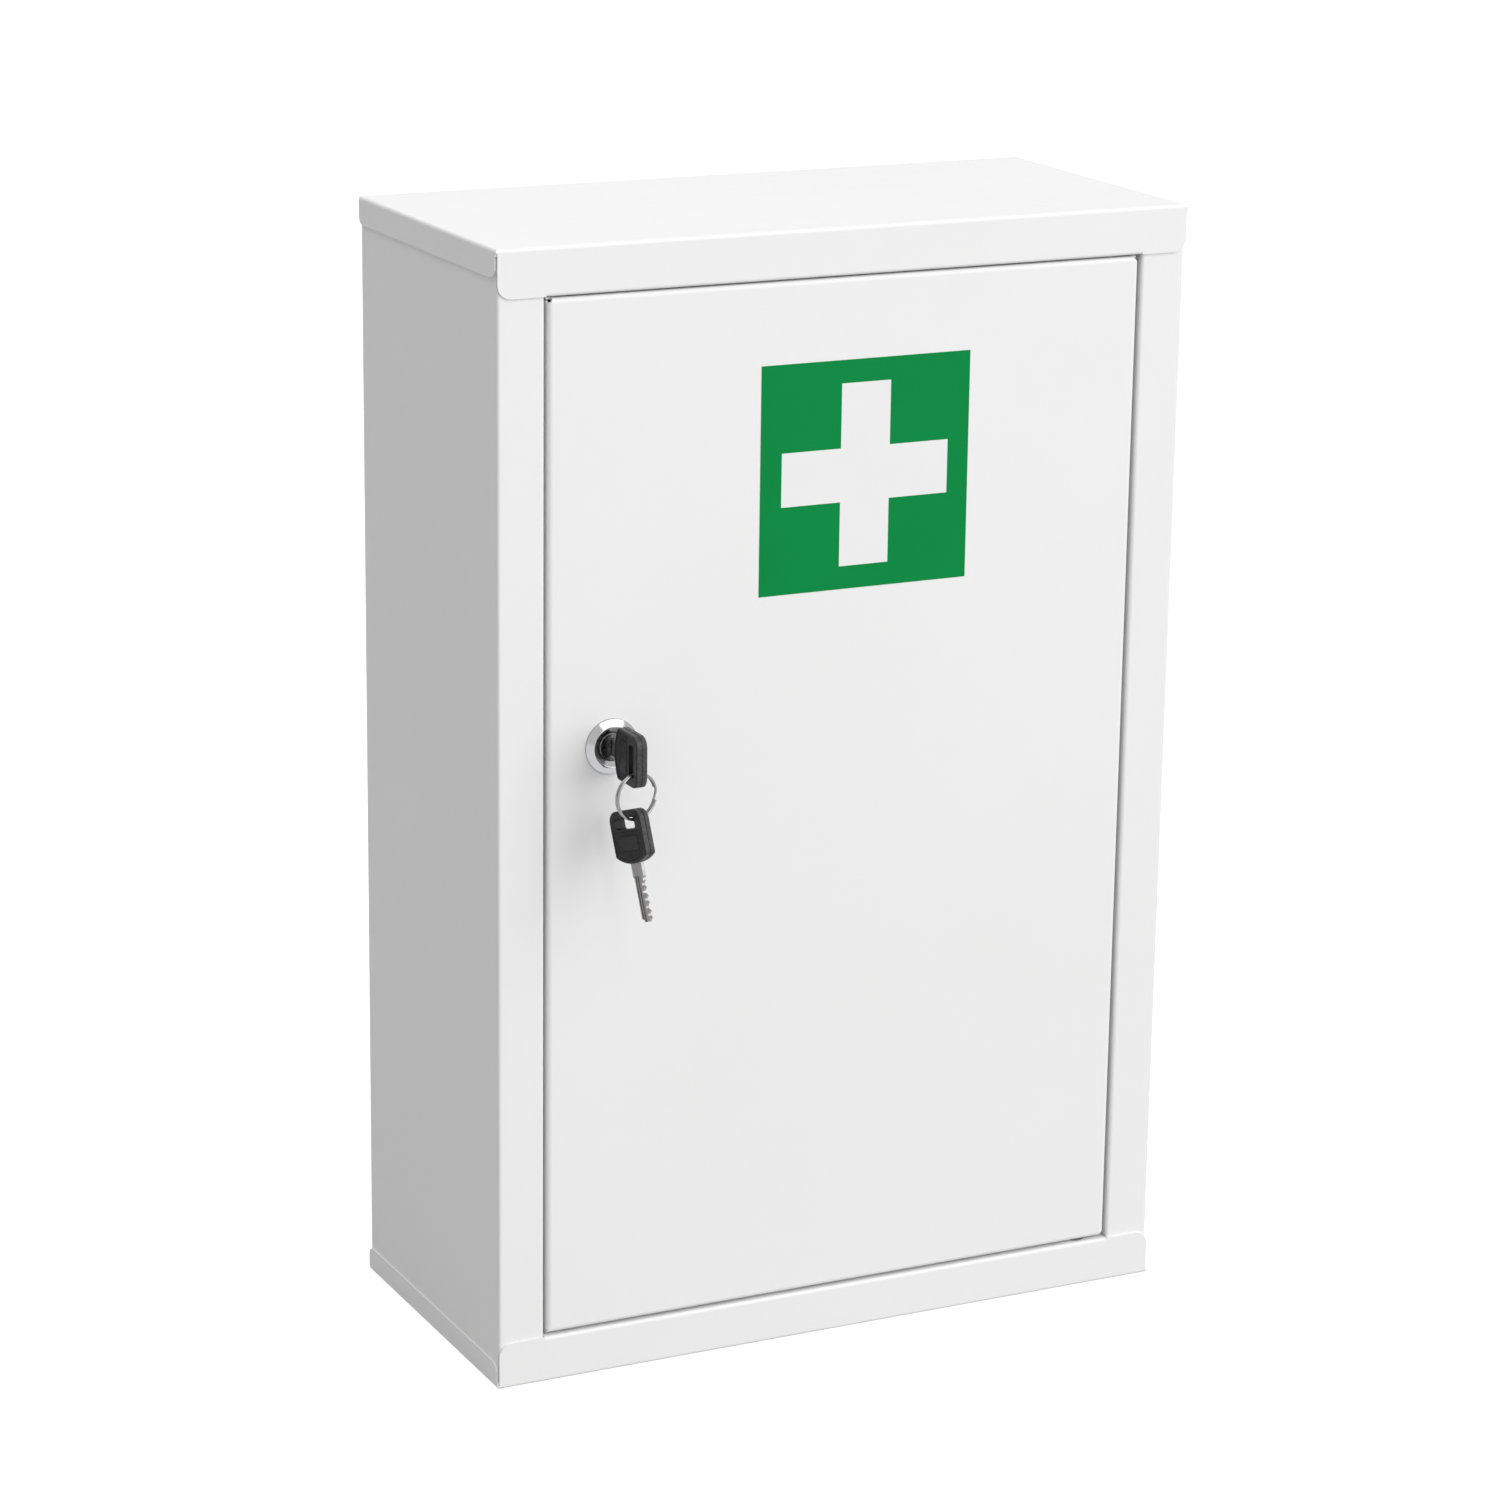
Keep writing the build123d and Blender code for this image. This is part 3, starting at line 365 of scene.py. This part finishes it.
def nickel_silver(name, along):
    """Milled strip: fine lines along the blade, from tool and lock wear."""
    blade = Finish(name, BLADE, metallic=1, roughness=0.4)
    turn = Vector((0, 1, 0)).rotation_difference(along).to_euler()
    lines = blade.mapped(BLADE_LINE_STRETCH, turn)
    blade.tint(blade.noise(per_metre=330, detail=3, place=lines), BLADE_TINT)
    blade.rough(blade.noise(per_metre=900, detail=3), 0.32, 0.46)
    blade.bump(blade.noise(per_metre=420, detail=3, place=lines), 9 * MICRON)
    return blade.material


def spring_steel():
    """Bright nickel on drawn wire."""
    wire = Finish("spring_steel", WIRE, metallic=1, roughness=0.18)
    wire.rough(wire.noise(per_metre=1200, detail=3), 0.12, 0.26)
    wire.bump(wire.noise(per_metre=2400, detail=2), 3 * MICRON)
    return wire.material


def black_plastic(name, place):
    """Moulded bow: spark-eroded grain, with a painted sheen, grey in patches, on its narrow sides but
    not in the ring slot.

    place is the key's own frame.
    """
    plastic = Finish(name, BOW, roughness=0.45, Specular_IOR_Level=0.24)
    plastic.tint(plastic.noise(per_metre=500, detail=4), BOW_TINT)
    narrow = plastic.narrow_sides(place.to_3x3() @ THROUGH_BOW)
    outer = plastic.outside(place, SLOT_MIDDLE, SLOT_REACH)
    # Painted sheen, in patches, on the narrow sides outside the ring slot.
    plastic.paint_sheen(plastic.math("MULTIPLY", narrow, outer), BOW_PAINTED_SHEEN)
    plastic.rough(plastic.noise(per_metre=380, detail=3), 0.30, 0.52)
    plastic.bump(plastic.noise(per_metre=5200, detail=2), 14 * MICRON)
    return plastic.material


def grip_plastic():
    """The grips' diamonds: the same plastic, polished and greyed by fingers."""
    grip = Finish("grip_plastic", GRIP, roughness=0.3, Specular_IOR_Level=0.24)
    grip.tint(grip.noise(per_metre=420, detail=4), GRIP_TINT)
    grip.rough(grip.noise(per_metre=380, detail=3), 0.22, 0.40)
    grip.bump(grip.noise(per_metre=5200, detail=2), 6 * MICRON)
    return grip.material


def nylon(name, colour):
    """Moulded nylon, a little translucent."""
    bush = Finish(name, colour, roughness=0.45, Subsurface_Weight=0.25, Subsurface_Radius=NYLON_DEPTH)
    bush.rough(bush.noise(per_metre=1400, detail=3), 0.38, 0.55)
    bush.bump(bush.noise(per_metre=3000, detail=2), 5 * MICRON)
    return bush.material


def rubber():
    """Matt grey rubber with dust in its grain."""
    button = Finish("rubber", RUBBER, roughness=0.85)
    button.tint(button.noise(per_metre=1100, detail=4, roughness=0.7), RUBBER_TINT)
    button.bump(button.noise(per_metre=2800, detail=3), 18 * MICRON)
    return button.material


def vinyl(name, colour, dim):
    """Film stuck to the door: smooth, with a faint waviness from the paint under it."""
    film = Finish(name, colour, roughness=0.5, Specular_IOR_Level=0.08)
    film.tint(film.noise(per_metre=24, detail=3), (colour, dim))
    film.rough(film.noise(per_metre=300, detail=3), 0.45, 0.56)
    film.bump(film.noise(per_metre=420, detail=1.5), 8 * MICRON)
    return film.material


def paint_nodes(looks):
    """Gives every CAD node a finish of its own, or else that of its material slot."""
    for subpart in frame["record"]["subparts"]:
        node, slot = subpart["node"], subpart["material_slot"]
        mesh = NODES[node].data
        mesh.materials.clear()
        mesh.materials.append(looks.get(node) or looks[slot])


# ---------------------------------------------------------------- mesh helpers
def add_object(name, bm, materials):
    """Turns a bmesh into an object of the scene."""
    mesh = bpy.data.meshes.new(name)
    bm.to_mesh(mesh)
    bm.free()
    for material in materials:
        mesh.materials.append(material)
    made = bpy.data.objects.new(name, mesh)
    bpy.context.scene.collection.objects.link(made)
    return made


def add_piece(name, bm, materials, body, place=None):
    """Turns a bmesh into a piece that rides on a body."""
    if place is not None:
        bmesh.ops.transform(bm, matrix=place, verts=bm.verts)
    bmesh.ops.recalc_face_normals(bm, faces=bm.faces)
    piece = add_object(name, bm, materials)
    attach(piece, body)


# ---------------------------------------------------------------- first-aid sign
SIGN_X = 6.95 * MM
SIGN_Z = 361.7 * MM
SIGN_SIDE = 92.0 * MM
SIGN_FILM = 0.09 * MM
CROSS_REACH = 36.7 * MM       # from the sign's middle to the end of an arm
CROSS_ARM = 21.6 * MM         # width of an arm


def first_aid_sign():
    """Square of green film with a white cross, on the door's face."""
    upper = [CROSS_ARM / 2, CROSS_REACH, SIGN_SIDE / 2]
    steps = [-step for step in reversed(upper)] + upper
    cells = range(len(steps) - 1)
    middle, arms = cells[len(cells) // 2], cells[1:-1]
    bm = bmesh.new()
    rows = [[bm.verts.new((x, 0, z)) for x in steps] for z in steps]
    for i in cells:
        for j in cells:
            corners = (rows[i][j], rows[i][j + 1], rows[i + 1][j + 1], rows[i + 1][j])
            in_cross = (i == middle and j in arms) or (j == middle and i in arms)
            bm.faces.new(corners).material_index = int(in_cross)
    raised = bmesh.ops.extrude_face_region(bm, geom=bm.faces[:])["geom"]
    lifted = [v for v in raised if isinstance(v, bmesh.types.BMVert)]
    bmesh.ops.translate(bm, verts=lifted, vec=(0, -SIGN_FILM, 0))
    face_of_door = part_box("door_panel")[0].y
    films = [vinyl("green_film", SIGN_GREEN, SIGN_GREEN_DIM),
             vinyl("white_film", SIGN_WHITE, SIGN_WHITE_DIM)]
    add_piece("first_aid_sign", bm, films, "door", Matrix.Translation((SIGN_X, face_of_door, SIGN_Z)))


# ---------------------------------------------------------------- key grips
# Starts, ends and centres are along Y of a key's own frame, and half widths along Z.
BOW_HALF_THICKNESS = 2.35 * MM
FIELD_SINK = 0.35 * MM            # depth of the sunk field in the bow's face
FIELD_START = -12.9 * MM          # straight end of the field, beside the ring slot
FIELD_HALF_WIDTH = 9.3 * MM
FIELD_ARC_CENTRE = -19.5 * MM     # the field's other end follows the curved shoulder
FIELD_ARC_RADIUS = 18.4 * MM
PLATE_START = -10.8 * MM          # smooth plate left standing in the field
PLATE_END = -5.2 * MM
PLATE_HALF_WIDTH = 6.3 * MM
DIAMOND_HALF = 0.5 * MM           # half a diamond's diagonal
DIAMOND_HEIGHT = 0.31 * MM
DIAMOND_ROOT = 0.03 * MM          # how far a diamond's base is let into the bow


def has_grip(y, z):
    """True in the sunk field, between the slot, the plate and the shoulder.

    The outermost diamonds run a little into the field's walls, as a cut pattern does.
    """
    in_arc = math.hypot(y - FIELD_ARC_CENTRE, z) < FIELD_ARC_RADIUS
    on_plate = PLATE_START < y < PLATE_END and abs(z) < PLATE_HALF_WIDTH
    return in_arc and y > FIELD_START and abs(z) < FIELD_HALF_WIDTH and not on_plate


def add_diamond(bm, side, y, z):
    """Small pyramid that stands in the field on one face of the bow."""
    floor = BOW_HALF_THICKNESS - FIELD_SINK
    half = DIAMOND_HALF
    around = [(y - half, z), (y, z - half), (y + half, z), (y, z + half)]
    base = [bm.verts.new((side * (floor - DIAMOND_ROOT), *point)) for point in around]
    tip = bm.verts.new((side * (floor + DIAMOND_HEIGHT), y, z))
    bm.faces.new(base)
    for i, corner in enumerate(base):
        bm.faces.new((corner, base[i - 1], tip))


def key_grips(name, body, place):
    """Diamond grips on both faces of one bow."""
    bm = bmesh.new()
    rows = round(-FIELD_START / DIAMOND_HALF)
    columns = round(FIELD_HALF_WIDTH / DIAMOND_HALF)
    for row in range(-rows, 0):
        for column in range(-columns, columns + 1):
            y, z = row * DIAMOND_HALF, column * DIAMOND_HALF
            if (row + column) % 2 == 0 and has_grip(y, z):
                add_diamond(bm, -1, y, z)
                add_diamond(bm, 1, y, z)
    add_piece(name, bm, [LOOKS["grips"]], body, place)


# ---------------------------------------------------------------- lock thread
BARREL_RADIUS = 9.4 * MM
THREAD_HEIGHT = 0.2 * MM
THREAD_ROOT = 0.05 * MM              # how far a ridge's foot is let into the barrel
THREAD_PITCH = 1.0 * MM
THREAD_SPREAD = math.radians(59)     # each way from the middle of a round side, to the flat
THREAD_STEPS = 18                    # along one round side


def barrel_thread():
    """Ridges of the barrel's thread on its two round sides, behind the nut."""
    x, z = lock_axis()
    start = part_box("lock_nut")[1].y + THREAD_PITCH
    turns = int((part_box("lock_housing")[1].y - start) / THREAD_PITCH)
    foot, crest = BARREL_RADIUS - THREAD_ROOT, BARREL_RADIUS + THREAD_HEIGHT
    profile = ((foot, -THREAD_PITCH / 2), (crest, 0), (foot, THREAD_PITCH / 2))
    bm = bmesh.new()
    for middle in (0, math.pi):
        for turn in range(turns):
            sections = []
            for step in range(THREAD_STEPS + 1):
                angle = middle + THREAD_SPREAD * (2 * step / THREAD_STEPS - 1)
                y = start + THREAD_PITCH * (turn + (angle - math.pi) / math.tau)
                sections.append([bm.verts.new((x + radius * math.cos(angle), y + along,
                                               z + radius * math.sin(angle)))
                                 for radius, along in profile])
            for a, b in zip(sections, sections[1:]):
                for i in range(len(profile)):
                    bm.faces.new((a[i], a[i - 1], b[i - 1], b[i]))
            bm.faces.new(sections[0])
            bm.faces.new(sections[-1])
    add_piece("barrel_thread", bm, [LOOKS["chrome"]], "door")


# ---------------------------------------------------------------- lighting and floor
BACKGROUND_LEVEL = 1.0               # shows white
WORLD_LEVEL = 0.56
KEY_LAMP = {"place": Vector((2.0, -4.1, 2.8)), "size": 6.0, "power": 262}
TOP_LAMP = {"place": Vector((-0.6, 0.2, 2.2)), "size": 1.2, "power": 8.4}
LIT_POINT = Vector((0, 0, 0.23))     # the cabinet's middle
FLOOR_SIZE = 40.0
FLOOR_ALBEDO = 0.355                 # for the light that it throws back
FLOOR_SHOWN_ALBEDO = 0.55            # as it is seen, with the shadow on it
FLOOR_GLOW = 0.76                    # as it is seen, to bring it up to white


def background_rays(tree):
    """1 for the rays that show the background: from the camera, in gloss and through glass."""
    path = tree.nodes.new("ShaderNodeLightPath").outputs
    seen = math_node(tree, "MAXIMUM", path["Is Camera Ray"], path["Is Glossy Ray"])
    return math_node(tree, "MAXIMUM", seen, path["Is Transmission Ray"])


def add_world():
    """Even light from all round, which shows white as a background."""
    world = bpy.data.worlds.new("studio")
    world.use_nodes = True
    tree = world.node_tree
    sky = tree.nodes["Background"]
    sky.inputs["Color"].default_value = (1, 1, 1, 1)
    lift = math_node(tree, "MULTIPLY", background_rays(tree), BACKGROUND_LEVEL - WORLD_LEVEL)
    tree.links.new(math_node(tree, "ADD", lift, WORLD_LEVEL), sky.inputs["Strength"])
    bpy.context.scene.world = world


def soft_lamp(name, place, size, power):
    """Square area lamp that faces the cabinet."""
    data = bpy.data.lights.new(name, "AREA")
    data.shape = "SQUARE"
    data.size = size
    data.energy = power
    lamp = bpy.data.objects.new(name, data)
    bpy.context.scene.collection.objects.link(lamp)
    turn = (LIT_POINT - place).to_track_quat("-Z", "Y").to_matrix().to_4x4()
    lamp.matrix_world = Matrix.Translation(place) @ turn


def floor_material():
    """Dim in the light that it throws back, but white to the camera and in reflections."""
    material = bpy.data.materials.new("studio_floor")
    material.use_nodes = True
    nodes, links = material.node_tree.nodes, material.node_tree.links
    nodes.clear()
    lighting = nodes.new("ShaderNodeBsdfDiffuse")
    lighting.inputs["Color"].default_value = (FLOOR_ALBEDO,) * 3 + (1,)
    shaded = nodes.new("ShaderNodeBsdfDiffuse")
    shaded.inputs["Color"].default_value = (FLOOR_SHOWN_ALBEDO,) * 3 + (1,)
    glow = nodes.new("ShaderNodeEmission")
    glow.inputs["Strength"].default_value = FLOOR_GLOW
    shown = nodes.new("ShaderNodeAddShader")
    links.new(shaded.outputs[0], shown.inputs[0])
    links.new(glow.outputs[0], shown.inputs[1])
    mix = nodes.new("ShaderNodeMixShader")
    links.new(background_rays(material.node_tree), mix.inputs["Fac"])
    links.new(lighting.outputs[0], mix.inputs[1])
    links.new(shown.outputs[0], mix.inputs[2])
    out = nodes.new("ShaderNodeOutputMaterial")
    links.new(mix.outputs[0], out.inputs["Surface"])
    return material


def add_floor():
    """Pale floor that keeps the cabinet's shadow."""
    bm = bmesh.new()
    bmesh.ops.create_grid(bm, x_segments=1, y_segments=1, size=FLOOR_SIZE / 2)
    add_object("floor", bm, [floor_material()])


# ---------------------------------------------------------------- the scene
# Finishes by material slot, or by node where a node has its own, and the grips'.
LOOKS = {
    "white_paint": white_paint(),
    "chrome": chrome(),
    "lock_housing": bezel_plate(),
    "lock_plug": plug_plate(),
    "zinc_steel": zinc_steel(),
    "key_blade": nickel_silver("nickel_silver", blade_direction("key_blade")),
    "spare_key_blade": nickel_silver("nickel_silver_spare", blade_direction("spare_key_blade")),
    "spring_steel": spring_steel(),
    "key_bow": black_plastic("black_plastic", key_frame()),
    "spare_key_bow": black_plastic("black_plastic_spare", spare_frame()),
    "grips": grip_plastic(),
    "nylon": nylon("nylon", NYLON),
    # Painted shade: the washer under the door is darker than the other nylon.
    "lower_pivot_washer": nylon("washer_nylon_painted_shade", NYLON_PAINTED_SHADE),
    "rubber": rubber(),
}

add_camera()
add_world()
soft_lamp("key_lamp", **KEY_LAMP)
soft_lamp("top_lamp", **TOP_LAMP)
add_floor()
paint_nodes(LOOKS)
first_aid_sign()
key_grips("key_grips", "key", key_frame())
key_grips("spare_key_grips", "spare_key", spare_frame())
barrel_thread()

bpy.context.scene.view_settings.view_transform = "Standard"
